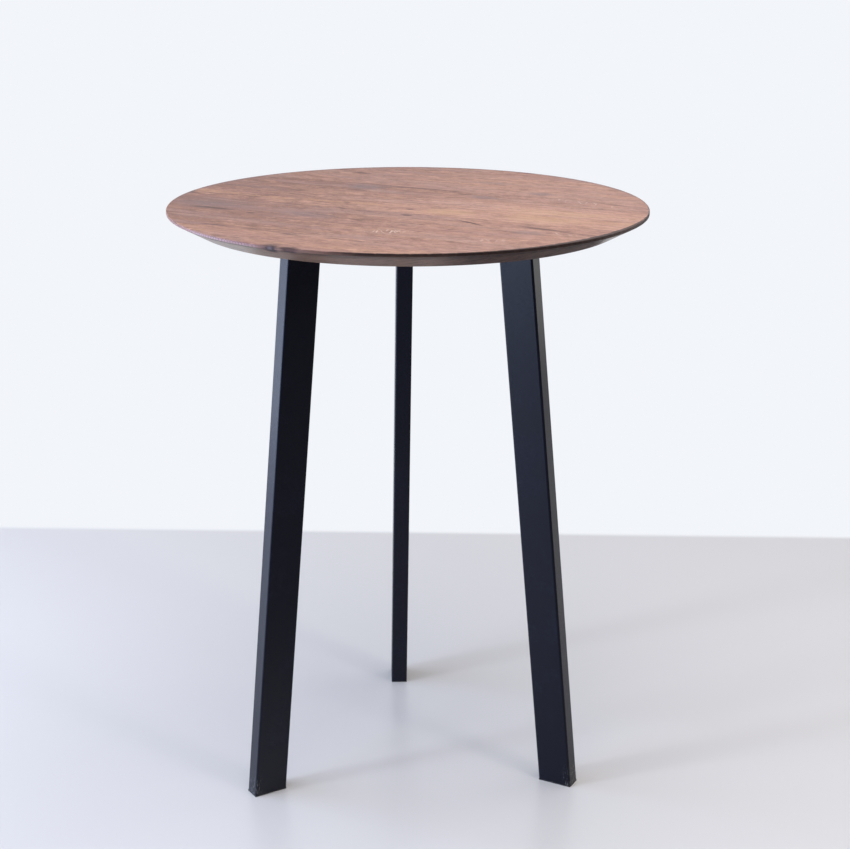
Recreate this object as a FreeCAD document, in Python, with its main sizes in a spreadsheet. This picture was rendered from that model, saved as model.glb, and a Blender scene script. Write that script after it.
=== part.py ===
import FreeCAD, Part
import math
import os
import Sketcher

# A round bar table: a plank top with an undercut edge, on three splayed legs of rectangular steel tube.
# Millimetres, +Z up. The origin is on the floor, under the middle of the top. The rear leg stands on +Y.
# Each leg is drawn once in its own frame, with +X pointing outwards from the table's middle, and turned
# about the table's upright axis by its body's Placement.

doc = FreeCAD.newDocument("bar_table")
sheet = doc.addObject("Spreadsheet::Sheet", "Sizes")

# Driving dimensions: alias, value, and what it measures. Lengths in millimetres, angles in degrees.
SIZES = (
    ("height", 1000, "floor to table surface"),
    ("top_diameter", 800, "across the round top"),
    ("top_thickness", 28, "table surface to underside"),
    ("edge_band", 5, "upright band of the rim, above the undercut"),
    ("undercut", 43, "how far the sloped undercut reaches in from the rim"),
    ("arris", 0.8, "chamfer that breaks the rim's upper edge"),
    ("grain_turn", -26.5, "direction of the planks, from +X"),
    ("foot_radius", 295, "table's middle to a leg's centre line, on the floor"),
    ("splay", 5.5, "how much a leg leans outwards from the upright"),
    ("side_lean", 0.6, "how much a leg leans sideways, all three the same way round"),
    ("next_leg_turn", 120, "angle between neighbouring legs"),
    ("rear_leg_turn", 90, "direction of the rear leg, from +X"),
    ("tube_depth", 60, "wide side of the leg tube"),
    ("tube_width", 30, "narrow side of the leg tube"),
    ("tube_wall", 2, "wall of the leg tube"),
    ("tube_corner", 3.5, "outer corner radius of the leg tube"),
    ("plate_length", 132, "mounting plate, in the leg's outward direction"),
    ("plate_width", 86, "mounting plate, across the leg"),
    ("plate_thickness", 5, "mounting plate"),
    ("plate_corner", 9, "corner radius of the mounting plate"),
    ("screw_inset", 14, "screw axis to the plate's edges"),
    ("weld_leg", 4, "leg length of the weld bead"),
    ("weld_toe", 0.8, "width left at the bead's lower edge"),
    ("screw_diameter", 8, "shank of the hexagon head wood screw"),
    ("screw_length", 25, "under the head"),
    ("screw_point", 6, "length of the screw's cone point"),
    ("head_width", 13, "hexagon head, across its flats"),
    ("head_height", 5.5, "hexagon head"),
    ("hole_play", 0.5, "between a screw's shank and the plate's hole, all round"),
    ("thread_play", 0.1, "between a screw's shank and its pilot hole in the wood, all round"),
    ("pilot_extra", 1, "depth of the pilot hole beyond the screw's point"),
    ("cap_sole", 2, "thickness of the foot cap under the tube"),
    ("sole_corner", 1.5, "corner radius of the cap's sole, sharper than the tube's"),
    ("plug_height", 16, "foot cap, inside the tube"),
    ("plug_wall", 2, "wall of the foot cap's plug"),
    ("plug_corner", 1, "chamfer of the plug's and the ribs' corners"),
    ("rib_depth", 0.9, "how far the plug's gripping ribs stand out"),
    ("rib_thickness", 1.4, "gripping rib"),
    ("rib_pitch", 4.5, "from rib to rib, and from the sole to the first one"),
    ("plug_play", 0.1, "between a rib and the tube's inside, all round"),
    ("overrun", 10, "how far the tools that cut the wood reach past it"),
)
# Widths of the planks from the far side to the near side, as shares of the top's diameter. The last
# plank takes what is left.
PLANK_SHARES = (0.154, 0.146, 0.088, 0.104, 0.096, 0.154, 0.130)
RIB_COUNT = 3
LEGS = ("rear", "front_left", "front_right")

for row, (alias, value, note) in enumerate(SIZES, start=1):
    sheet.set(f"A{row}", note)
    sheet.set(f"B{row}", str(value))
    sheet.setAlias(f"B{row}", alias)
share_row = len(SIZES) + 1
for number, share in enumerate(PLANK_SHARES, start=1):
    sheet.set(f"A{share_row}", f"width of plank {number}, as a share of the top's diameter")
    sheet.set(f"B{share_row}", str(share))
    sheet.setAlias(f"B{share_row}", f"plank_{number}_share")
    share_row += 1
doc.recompute()

# Heights and places that follow from the sheet, as expressions.
UNDERSIDE = "(Sizes.height - Sizes.top_thickness)"
PLATE_BOTTOM = f"({UNDERSIDE} - Sizes.plate_thickness)"
HEAD_BOTTOM = f"({PLATE_BOTTOM} - Sizes.head_height)"
SPLAY_SLOPE = "tan(Sizes.splay * 1 deg)"
LEAN_SLOPE = "tan(Sizes.side_lean * 1 deg)"
RIM_RADIUS = "(Sizes.top_diameter / 2)"
# The level section of the slanted tube is a little larger than its square section.
LEVEL_DEPTH = "(Sizes.tube_depth / cos(Sizes.splay * 1 deg))"
LEVEL_WIDTH = "(Sizes.tube_width / cos(Sizes.side_lean * 1 deg))"
INNER_CORNER = "(Sizes.tube_corner - Sizes.tube_wall)"
PLATE_X = f"(Sizes.foot_radius - {PLATE_BOTTOM} * {SPLAY_SLOPE})"
SCREW_X = f"({PLATE_X} - Sizes.plate_length / 2 + Sizes.screw_inset)"
SCREW_Y = "(Sizes.screw_inset - Sizes.plate_width / 2)"
SCREW_SPACING_LONG = "(Sizes.plate_length - 2 * Sizes.screw_inset)"
SCREW_SPACING_CROSS = "(Sizes.plate_width - 2 * Sizes.screw_inset)"


# A sketch's numbers for a line's ends, an arc's centre and its own origin.
START, END, CENTRE = range(1, 4)
ORIGIN = (-1, 1)
UPRIGHT = FreeCAD.Vector(0, 0, 1)
# Sizes of an outline's rough first drawing, before its constraints set the true ones.
ROUGH_LENGTH = 40.0
ROUGH_WIDTH = 20.0
ROUGH_CORNER = 4.0


def new_body(label):
    """A named body for one sub-part."""
    body = doc.addObject("PartDesign::Body", label)
    body.Label = label
    return body


def origin_feature(body, role):
    """The body's own plane or axis with that role."""
    return next(f for f in body.Origin.OriginFeatures if f.Role == role)


def new_sketch(body, name, plane="XY_Plane", x="0", y="0", level="0"):
    """A sketch on one of the body's planes, moved along that plane by x and y and off it by level."""
    sketch = body.newObject("Sketcher::SketchObject", name)
    sketch.AttachmentSupport = (origin_feature(body, plane), "")
    sketch.MapMode = "FlatFace"
    sketch.setExpression("AttachmentOffset.Base.x", x)
    sketch.setExpression("AttachmentOffset.Base.y", y)
    sketch.setExpression("AttachmentOffset.Base.z", level)
    return sketch


def on_leg(body, name, level):
    """A level sketch whose origin lies on the leg's slanted centre line, at a level above the floor."""
    outwards = f"Sizes.foot_radius - ({level}) * {SPLAY_SLOPE}"
    sideways = f"({PLATE_BOTTOM} - ({level})) * {LEAN_SLOPE}"
    return new_sketch(body, name, x=outwards, y=sideways, level=level)


def constrain(sketch, kind, *where, size=None):
    """Adds a constraint. One with a size starts at the drawn size, which its expression then corrects."""
    if size is None:
        sketch.addConstraint(Sketcher.Constraint(kind, *where))
        return
    if kind == "Radius":
        drawn = sketch.Geometry[where[0]].Radius
    else:
        across = sketch.getPoint(where[2], where[3]) - sketch.getPoint(where[0], where[1])
        drawn = across.x if kind == "DistanceX" else across.y
    index = sketch.addConstraint(Sketcher.Constraint(kind, *where, drawn))
    sketch.setExpression(f"Constraints[{index}]", size)


def rounded_rectangle(sketch, length, width, corner):
    """A rectangle with round corners about the sketch's own origin."""
    reach_x = ROUGH_LENGTH / 2
    reach_y = ROUGH_WIDTH / 2
    inner_x = reach_x - ROUGH_CORNER
    inner_y = reach_y - ROUGH_CORNER
    first = sketch.GeometryCount
    sides = (
        ((-inner_x, -reach_y), (inner_x, -reach_y)),
        ((reach_x, -inner_y), (reach_x, inner_y)),
        ((inner_x, reach_y), (-inner_x, reach_y)),
        ((-reach_x, inner_y), (-reach_x, -inner_y)),
    )
    for begin, end in sides:
        sketch.addGeometry(Part.LineSegment(FreeCAD.Vector(*begin, 0), FreeCAD.Vector(*end, 0)))
    centres = ((inner_x, -inner_y), (inner_x, inner_y), (-inner_x, inner_y), (-inner_x, -inner_y))
    quarter = FreeCAD.Units.Quantity("90 deg").getValueAs("rad").Value
    for turn, centre in enumerate(centres, start=-1):
        circle = Part.Circle(FreeCAD.Vector(*centre, 0), UPRIGHT, ROUGH_CORNER)
        sketch.addGeometry(Part.ArcOfCircle(circle, turn * quarter, (turn + 1) * quarter))
    bottom, right, top, left = range(first, first + 4)
    arcs = range(first + 4, first + 8)
    for side, arc, following in zip((bottom, right, top, left), arcs, (right, top, left, bottom)):
        constrain(sketch, "Tangent", side, END, arc, START)
        constrain(sketch, "Tangent", arc, END, following, START)
    constrain(sketch, "Horizontal", bottom)
    constrain(sketch, "Horizontal", top)
    constrain(sketch, "Vertical", right)
    constrain(sketch, "Vertical", left)
    for arc in arcs[1:]:
        constrain(sketch, "Equal", arcs[0], arc)
    constrain(sketch, "Symmetric", arcs[0], CENTRE, arcs[2], CENTRE, *ORIGIN)
    constrain(sketch, "Radius", arcs[0], size=corner)
    constrain(sketch, "DistanceX", left, START, right, START, size=length)
    constrain(sketch, "DistanceY", bottom, START, top, START, size=width)


def chamfered_rectangle(sketch, length, width, corner):
    """A rectangle with its corners cut off at 45 degrees, about the sketch's own origin."""
    reach_x = ROUGH_LENGTH / 2
    reach_y = ROUGH_WIDTH / 2
    inner_x = reach_x - ROUGH_CORNER
    inner_y = reach_y - ROUGH_CORNER
    corners = (
        (-inner_x, -reach_y),
        (inner_x, -reach_y),
        (reach_x, -inner_y),
        (reach_x, inner_y),
        (inner_x, reach_y),
        (-inner_x, reach_y),
        (-reach_x, inner_y),
        (-reach_x, -inner_y),
    )
    lines = []
    for begin, end in zip(corners, corners[1:] + corners[:1]):
        segment = Part.LineSegment(FreeCAD.Vector(*begin, 0), FreeCAD.Vector(*end, 0))
        lines.append(sketch.addGeometry(segment))
    for line, following in zip(lines, lines[1:] + lines[:1]):
        constrain(sketch, "Coincident", line, END, following, START)
    bottom, right, top, left = lines[::2]
    constrain(sketch, "Horizontal", bottom)
    constrain(sketch, "Vertical", right)
    for end in (START, END):
        constrain(sketch, "Symmetric", bottom, end, top, end, *ORIGIN)
        constrain(sketch, "Symmetric", right, end, left, end, *ORIGIN)
    constrain(sketch, "DistanceX", left, START, right, START, size=length)
    constrain(sketch, "DistanceY", bottom, START, top, START, size=width)
    constrain(sketch, "DistanceX", bottom, END, right, START, size=corner)
    constrain(sketch, "DistanceY", bottom, END, right, START, size=corner)
    constrain(sketch, "DistanceX", top, START, right, END, size=corner)
    constrain(sketch, "DistanceY", right, END, top, START, size=corner)


def circle(sketch, radius):
    """A circle about the sketch's own origin."""
    index = sketch.addGeometry(Part.Circle(FreeCAD.Vector(0, 0, 0), UPRIGHT, ROUGH_CORNER))
    constrain(sketch, "Coincident", index, CENTRE, *ORIGIN)
    constrain(sketch, "Radius", index, size=radius)


def pad(body, sketch, name, length, reverse=False):
    """A pad of the sketch, upwards or downwards."""
    feature = body.newObject("PartDesign::Pad", name)
    feature.Profile = sketch
    feature.Reversed = reverse
    feature.setExpression("Length", length)
    return feature


def edges_at_level(feature, level):
    """Names of the feature's edges that lie at a level above the floor."""
    names = []
    for index, edge in enumerate(feature.Shape.Edges, start=1):
        if all(math.isclose(point.z, level) for point in (edge.firstVertex().Point, edge.CenterOfMass)):
            names.append(f"Edge{index}")
    return names


def follow_leg(feature, upwards):
    """Turns a pad or pocket from the upright into the leg's slanted direction. Its length stays a height."""
    sign = "-1" if upwards else "1"
    feature.UseCustomVector = True
    feature.AlongSketchNormal = True
    feature.setExpression("Direction.x", f"{sign} * {SPLAY_SLOPE}")
    feature.setExpression("Direction.y", f"{sign} * {LEAN_SLOPE}")
    feature.setExpression("Direction.z", "1" if upwards else "-1")
    return feature


def four_screw_places(body, *features):
    """Repeats the features of one screw place at the mounting plate's four corners."""
    corners = body.newObject("PartDesign::MultiTransform", f"{body.Label}_corners")
    corners.Originals = list(features)
    along = body.newObject("PartDesign::LinearPattern", f"{body.Label}_along")
    along.Direction = (origin_feature(body, "X_Axis"), [""])
    along.Occurrences = 2
    along.setExpression("Length", SCREW_SPACING_LONG)
    across = body.newObject("PartDesign::LinearPattern", f"{body.Label}_across")
    across.Direction = (origin_feature(body, "Y_Axis"), [""])
    across.Occurrences = 2
    across.setExpression("Length", SCREW_SPACING_CROSS)
    corners.Transformations = [along, across]
    body.Tip = corners


def turn_to_leg(body, position):
    """Turns a leg's body from the leg's own frame to the leg's place round the table."""
    body.Placement = FreeCAD.Placement(FreeCAD.Vector(0, 0, 0), FreeCAD.Rotation(UPRIGHT, 0))
    turn = f"(Sizes.rear_leg_turn + {position} * Sizes.next_leg_turn) * 1 deg"
    body.setExpression("Placement.Rotation.Angle", turn)
    return body


def leg_tube(label, position):
    """The rectangular tube: its level section carried down the slant, so that both ends are mitred level."""
    body = new_body(label)
    section = on_leg(body, f"{label}_section", PLATE_BOTTOM)
    rounded_rectangle(section, LEVEL_DEPTH, LEVEL_WIDTH, "Sizes.tube_corner")
    bore_depth = f"{LEVEL_DEPTH} - 2 * Sizes.tube_wall"
    bore_width = f"{LEVEL_WIDTH} - 2 * Sizes.tube_wall"
    rounded_rectangle(section, bore_depth, bore_width, INNER_CORNER)
    run = pad(body, section, f"{label}_run", f"{PLATE_BOTTOM} - Sizes.cap_sole")
    follow_leg(run, upwards=False)
    return turn_to_leg(body, position)


def leg_plate(label, position):
    """The mounting plate with its four clearance holes."""
    body = new_body(label)
    outline = new_sketch(body, f"{label}_outline", x=PLATE_X, level=PLATE_BOTTOM)
    rounded_rectangle(outline, "Sizes.plate_length", "Sizes.plate_width", "Sizes.plate_corner")
    pad(body, outline, f"{label}_blank", "Sizes.plate_thickness")
    hole_circle = new_sketch(body, f"{label}_hole_circle", x=SCREW_X, y=SCREW_Y, level=UNDERSIDE)
    circle(hole_circle, "Sizes.screw_diameter / 2 + Sizes.hole_play")
    hole = body.newObject("PartDesign::Pocket", f"{label}_hole")
    hole.Profile = hole_circle
    hole.setExpression("Length", "Sizes.plate_thickness")
    four_screw_places(body, hole)
    return turn_to_leg(body, position)


def leg_weld(label, position):
    """The weld bead in the corner between plate and tube: a chamfered ring, cut to the tube's outside."""
    body = new_body(label)
    outline = on_leg(body, f"{label}_outline", PLATE_BOTTOM)
    bead_depth = f"{LEVEL_DEPTH} + 2 * Sizes.weld_leg"
    bead_width = f"{LEVEL_WIDTH} + 2 * Sizes.weld_leg"
    chamfered_rectangle(outline, bead_depth, bead_width, "Sizes.weld_leg")
    block = pad(body, outline, f"{label}_block", "Sizes.weld_leg", reverse=True)
    slope = body.newObject("PartDesign::Chamfer", f"{label}_slope")
    doc.recompute()
    toe_level = sheet.height - sheet.top_thickness - sheet.plate_thickness - sheet.weld_leg
    slope.Base = (block, edges_at_level(block, toe_level))
    slope.setExpression("Size", "Sizes.weld_leg - Sizes.weld_toe")
    passage = on_leg(body, f"{label}_passage", PLATE_BOTTOM)
    rounded_rectangle(passage, LEVEL_DEPTH, LEVEL_WIDTH, "Sizes.tube_corner")
    opening = body.newObject("PartDesign::Pocket", f"{label}_tube_passage")
    opening.Profile = passage
    opening.setExpression("Length", "2 * Sizes.weld_leg")
    follow_leg(opening, upwards=False)
    return turn_to_leg(body, position)


def foot_cap(label, position):
    """The plastic cap: a sole with sharper corners than the tube, and a hollow ribbed plug inside the tube."""
    body = new_body(label)
    sole = on_leg(body, f"{label}_sole_outline", "0")
    rounded_rectangle(sole, LEVEL_DEPTH, LEVEL_WIDTH, "Sizes.sole_corner")
    follow_leg(pad(body, sole, f"{label}_sole", "Sizes.cap_sole"), upwards=True)
    rib_gap = "Sizes.tube_wall + Sizes.plug_play"
    plug_gap = f"{rib_gap} + Sizes.rib_depth"

    def inner_outline(name, level, gap):
        """A sketch of the tube's outline drawn in by a gap, with its corners cut off."""
        sketch = on_leg(body, f"{label}_{name}", level)
        depth = f"{LEVEL_DEPTH} - 2 * ({gap})"
        width = f"{LEVEL_WIDTH} - 2 * ({gap})"
        chamfered_rectangle(sketch, depth, width, "Sizes.plug_corner")
        return sketch

    plug = inner_outline("plug_outline", "Sizes.cap_sole", plug_gap)
    follow_leg(pad(body, plug, f"{label}_plug", "Sizes.plug_height"), upwards=True)
    for rib in range(1, RIB_COUNT + 1):
        level = f"Sizes.cap_sole + {rib} * Sizes.rib_pitch - Sizes.rib_thickness"
        ring = inner_outline(f"rib_{rib}_outline", level, rib_gap)
        follow_leg(pad(body, ring, f"{label}_rib_{rib}", "Sizes.rib_thickness"), upwards=True)
    plug_top = "Sizes.cap_sole + Sizes.plug_height"
    hollow = inner_outline("hollow_outline", plug_top, f"{plug_gap} + Sizes.plug_wall")
    cut = body.newObject("PartDesign::Pocket", f"{label}_hollow")
    cut.Profile = hollow
    cut.setExpression("Length", "Sizes.plug_height")
    follow_leg(cut, upwards=False)
    return turn_to_leg(body, position)


def leg_screws(label, position):
    """Four hexagon head wood screws from below, each with a cone point."""
    body = new_body(label)
    head_outline = new_sketch(body, f"{label}_head", x=SCREW_X, y=SCREW_Y, level=HEAD_BOTTOM)
    hexagon(head_outline, "Sizes.head_width")
    head = pad(body, head_outline, f"{label}_head_block", "Sizes.head_height")
    seat = {"x": SCREW_X, "y": PLATE_BOTTOM, "level": f"-{SCREW_Y}"}
    profile = new_sketch(body, f"{label}_profile", plane="XZ_Plane", **seat)
    shank = sheet.screw_diameter / 2
    shoulder = sheet.screw_length - sheet.screw_point
    corners = ((0, sheet.screw_length), (shank, shoulder), (shank, 0), (0, 0))
    lines = (0, 1, 2, 3)
    point, side, base, axis = lines
    for begin, end in zip(corners, corners[1:] + corners[:1]):
        profile.addGeometry(Part.LineSegment(FreeCAD.Vector(*begin, 0), FreeCAD.Vector(*end, 0)))
    for line, following in zip(lines, lines[1:] + lines[:1]):
        constrain(profile, "Coincident", line, END, following, START)
    constrain(profile, "Vertical", side)
    constrain(profile, "Horizontal", base)
    constrain(profile, "Vertical", axis)
    constrain(profile, "Coincident", axis, START, *ORIGIN)
    constrain(profile, "DistanceX", *ORIGIN, side, START, size="Sizes.screw_diameter / 2")
    constrain(profile, "DistanceY", *ORIGIN, point, START, size="Sizes.screw_length")
    constrain(profile, "DistanceY", side, START, point, START, size="Sizes.screw_point")
    turned = body.newObject("PartDesign::Revolution", f"{label}_turned")
    turned.Profile = profile
    turned.ReferenceAxis = (profile, ["V_Axis"])
    turned.Angle = 360
    four_screw_places(body, head, turned)
    return turn_to_leg(body, position)


def hexagon(sketch, across_flats):
    """A regular hexagon about the sketch's own origin, with two flats square to its x axis."""
    reach = ROUGH_WIDTH / 2
    ring = sketch.addGeometry(Part.Circle(FreeCAD.Vector(0, 0, 0), UPRIGHT, reach), True)
    constrain(sketch, "Coincident", ring, CENTRE, *ORIGIN)
    constrain(sketch, "Radius", ring, size=f"{across_flats} / 2 / cos(30 deg)")
    spoke = FreeCAD.Vector(0, -reach, 0)
    step = FreeCAD.Rotation(UPRIGHT, 60)
    sides = []
    for _ in range(6):
        following = step.multVec(spoke)
        sides.append(sketch.addGeometry(Part.LineSegment(spoke, following)))
        spoke = following
    for side, following in zip(sides, sides[1:] + sides[:1]):
        constrain(sketch, "Coincident", side, END, following, START)
        constrain(sketch, "PointOnObject", side, START, ring)
    for side in sides[1:]:
        constrain(sketch, "Equal", sides[0], side)
    constrain(sketch, "Vertical", sides[0], START, *ORIGIN)


def pilot_holes(label, position):
    """Four plain plugs of the size of the holes that are bored in the wood for one leg's screws."""
    body = new_body(label)
    level = f"{UNDERSIDE} - Sizes.overrun"
    outline = new_sketch(body, f"{label}_outline", x=SCREW_X, y=SCREW_Y, level=level)
    circle(outline, "Sizes.screw_diameter / 2 + Sizes.thread_play")
    reach = "Sizes.screw_length - Sizes.plate_thickness + Sizes.pilot_extra"
    plug = pad(body, outline, f"{label}_plug", f"Sizes.overrun + {reach}")
    four_screw_places(body, plug)
    return turn_to_leg(body, position)


def top_blank():
    """The whole round top before it is parted into planks: rim band, undercut and flat underside, turned."""
    body = new_body("top_blank")
    profile = new_sketch(body, "top_blank_profile", plane="XZ_Plane", y="Sizes.height")
    reach, depth, band, cut = ROUGH_LENGTH, ROUGH_WIDTH, ROUGH_CORNER, ROUGH_WIDTH
    corners = ((0, 0), (reach, 0), (reach, -band), (reach - cut, -depth), (0, -depth), (0, 0))
    for begin, end in zip(corners, corners[1:]):
        profile.addGeometry(Part.LineSegment(FreeCAD.Vector(*begin, 0), FreeCAD.Vector(*end, 0)))
    surface, rim, slope, underside, axis = range(5)
    for side, following in zip(range(5), (rim, slope, underside, axis, surface)):
        constrain(profile, "Coincident", side, END, following, START)
    constrain(profile, "Coincident", surface, START, *ORIGIN)
    constrain(profile, "Horizontal", surface)
    constrain(profile, "Vertical", rim)
    constrain(profile, "Horizontal", underside)
    constrain(profile, "Vertical", axis)
    constrain(profile, "DistanceX", *ORIGIN, surface, END, size=RIM_RADIUS)
    constrain(profile, "DistanceX", *ORIGIN, slope, END, size=f"{RIM_RADIUS} - Sizes.undercut")
    constrain(profile, "DistanceY", rim, END, *ORIGIN, size="Sizes.edge_band")
    constrain(profile, "DistanceY", slope, END, *ORIGIN, size="Sizes.top_thickness")
    turned = body.newObject("PartDesign::Revolution", "top_blank_turned")
    turned.Profile = profile
    turned.ReferenceAxis = (profile, ["V_Axis"])
    turned.Angle = 360
    doc.recompute()
    broken_edge = body.newObject("PartDesign::Chamfer", "top_blank_arris")
    broken_edge.Base = (turned, edges_at_level(turned, sheet.height))
    broken_edge.setExpression("Size", "Sizes.arris")
    return body


def planks(blank, holes):
    """The top's planks: slices of the blank along the grain, with the screws' pilot holes bored out."""
    shares = [f"Sizes.plank_{number}_share" for number in range(1, len(PLANK_SHARES) + 1)]
    made = []
    for number in range(1, len(PLANK_SHARES) + 2):
        far_edge = "0" if number == 1 else " + ".join(shares[: number - 1])
        far_side = f"({RIM_RADIUS} - Sizes.top_diameter * ({far_edge}))"
        if number == 1:
            far_side = f"({RIM_RADIUS} + Sizes.overrun)"
        near_side = f"-({RIM_RADIUS} + Sizes.overrun)"
        if number <= len(PLANK_SHARES):
            near_side = f"({RIM_RADIUS} - Sizes.top_diameter * ({' + '.join(shares[:number])}))"
        slab = doc.addObject("Part::Box", f"plank_{number}_slab")
        slab.setExpression("Length", "Sizes.top_diameter + 2 * Sizes.overrun")
        slab.setExpression("Width", f"{far_side} - {near_side}")
        slab.setExpression("Height", "Sizes.top_thickness + 2 * Sizes.overrun")
        # The slab's corner sits at its left end and near side, turned with the grain.
        along = f"-({RIM_RADIUS} + Sizes.overrun)"
        cosine = "cos(Sizes.grain_turn * 1 deg)"
        sine = "sin(Sizes.grain_turn * 1 deg)"
        slab.Placement = FreeCAD.Placement(FreeCAD.Vector(0, 0, 0), FreeCAD.Rotation(UPRIGHT, 0))
        slab.setExpression("Placement.Base.x", f"{along} * {cosine} - {near_side} * {sine}")
        slab.setExpression("Placement.Base.y", f"{along} * {sine} + {near_side} * {cosine}")
        slab.setExpression("Placement.Base.z", f"{UNDERSIDE} - Sizes.overrun")
        slab.setExpression("Placement.Rotation.Angle", "Sizes.grain_turn * 1 deg")
        slice_ = doc.addObject("Part::Common", f"plank_{number}_slice")
        slice_.Base = blank
        slice_.Tool = slab
        plank = doc.addObject("Part::Cut", f"top_plank_{number}")
        plank.Label = f"top_plank_{number}"
        plank.Base = slice_
        plank.Tool = holes
        made.append(plank)
    return made


parts = []
hole_bodies = []
for position, leg in enumerate(LEGS):
    parts.append(leg_tube(f"leg_tube_{leg}", position))
    parts.append(leg_plate(f"leg_plate_{leg}", position))
    parts.append(leg_weld(f"leg_weld_{leg}", position))
    parts.append(foot_cap(f"foot_cap_{leg}", position))
    parts.append(leg_screws(f"leg_screws_{leg}", position))
    hole_bodies.append(pilot_holes(f"pilot_holes_{leg}", position))
all_holes = doc.addObject("Part::Compound", "all_pilot_holes")
all_holes.Links = hole_bodies
parts += planks(top_blank(), all_holes)
doc.recompute()

# Nothing is written unless every feature was made and every sub-part is a sound solid.
for item in doc.Objects:
    if "Invalid" in item.State or "Error" in item.State:
        raise RuntimeError(f"{item.Label} could not be made: {item.State}")
for part in parts:
    if part.Shape.isNull() or not part.Shape.isValid() or not part.Shape.Solids:
        raise RuntimeError(f"{part.Label} is not a sound solid")

os.makedirs("parts", exist_ok=True)
for part in parts:
    part.Shape.exportStep(f"parts/{part.Label}.step")
    print(part.Label, len(part.Shape.Solids), "solids", round(part.Shape.Volume), "mm3")
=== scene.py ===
"""A round bar table in a plain studio: smoked oak planks on three black steel legs.

Metres, +Z up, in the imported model's own frame: the origin is on the floor under the middle of the top,
and the rear leg's head stands on +Y.
"""

import logging
import math
from dataclasses import dataclass
from enum import Enum
from typing import Any, Iterable, Sequence

import bmesh
import bpy
from mathutils import Matrix, Vector


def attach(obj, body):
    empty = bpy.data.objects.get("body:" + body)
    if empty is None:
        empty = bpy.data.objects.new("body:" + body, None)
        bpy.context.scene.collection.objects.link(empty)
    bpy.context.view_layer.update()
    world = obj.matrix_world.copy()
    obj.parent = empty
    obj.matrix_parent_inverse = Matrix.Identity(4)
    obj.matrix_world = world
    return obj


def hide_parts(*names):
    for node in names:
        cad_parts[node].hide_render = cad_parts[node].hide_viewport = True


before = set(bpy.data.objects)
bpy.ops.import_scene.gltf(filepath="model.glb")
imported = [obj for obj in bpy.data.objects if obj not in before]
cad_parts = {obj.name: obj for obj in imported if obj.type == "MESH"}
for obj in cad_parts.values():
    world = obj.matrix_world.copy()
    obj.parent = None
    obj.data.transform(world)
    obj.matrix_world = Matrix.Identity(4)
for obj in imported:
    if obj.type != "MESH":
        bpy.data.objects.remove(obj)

log = logging.getLogger("bar_table")

MM = 0.001
Colour = tuple[float, float, float]
Place = tuple[float, float, float]


def paint(red: int, green: int, blue: int) -> Colour:
    """Turns a paint chip's 0 to 255 values into a linear colour.

    Args:
        red: The chip's red, as a screen shows it.
        green: The chip's green.
        blue: The chip's blue.

    Returns:
        The linear colour.
    """

    def linear(level: int) -> float:
        """One channel's linear share."""
        share = level / 255
        return share / 12.92 if share <= 0.04045 else ((share + 0.055) / 1.055) ** 2.4

    return (linear(red), linear(green), linear(blue))


class Value:
    """A number socket of a node tree that takes part in plain arithmetic."""

    def __init__(self, graph: "Graph", socket: bpy.types.NodeSocket) -> None:
        """Wraps an output socket of a tree."""
        self.graph = graph
        self.socket = socket

    def _math(self, operation: str, *operands: "float | Value", clamp: bool = False) -> "Value":
        """Adds one Math node over the operands."""
        settings = {"operation": operation, "use_clamp": clamp}
        node = self.graph.node("ShaderNodeMath", settings, dict(enumerate(operands)))
        return Value(self.graph, node.outputs[0])

    def __add__(self, other: "float | Value") -> "Value":
        """Sum."""
        return self._math("ADD", self, other)

    def __radd__(self, other: "float | Value") -> "Value":
        """Sum, with the number first."""
        return self._math("ADD", other, self)

    def __sub__(self, other: "float | Value") -> "Value":
        """Difference."""
        return self._math("SUBTRACT", self, other)

    def __rsub__(self, other: "float | Value") -> "Value":
        """Difference, with the number first."""
        return self._math("SUBTRACT", other, self)

    def __mul__(self, other: "float | Value") -> "Value":
        """Product."""
        return self._math("MULTIPLY", self, other)

    def __rmul__(self, other: "float | Value") -> "Value":
        """Product, with the number first."""
        return self._math("MULTIPLY", other, self)

    def __truediv__(self, other: "float | Value") -> "Value":
        """Quotient."""
        return self._math("DIVIDE", self, other)

    def hypot(self, other: "Value") -> "Value":
        """How far the point with these two coordinates lies from the origin."""
        return self._math("SQRT", self * self + other * other)

    def fraction(self) -> "Value":
        """What is left after the whole part."""
        return self._math("FRACT", self)

    def most(self, other: "float | Value") -> "Value":
        """The larger of the two."""
        return self._math("MAXIMUM", self, other)

    def angle(self, other: "float | Value") -> "Value":
        """The angle of the point whose y this is and whose x is the other."""
        return self._math("ARCTAN2", self, other)

    def clamped(self) -> "Value":
        """Held between 0 and 1."""
        return self._math("ADD", self, 0.0, clamp=True)

    def rise(self, low: float, high: float) -> "Value":
        """A soft step.

        Args:
            low: Where the step leaves 0. It may lie above high, and then the step falls.
            high: Where the step reaches 1.

        Returns:
            A value from 0 to 1.
        """
        begin, end = (0.0, 1.0) if high > low else (1.0, 0.0)
        span = {"From Min": min(low, high), "From Max": max(low, high), "To Min": begin, "To Max": end}
        settings = {"interpolation_type": "SMOOTHSTEP"}
        return self.graph.value(self.graph.node("ShaderNodeMapRange", settings, {"Value": self, **span}))


Coordinates = tuple[Value, Value, Value]


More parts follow.
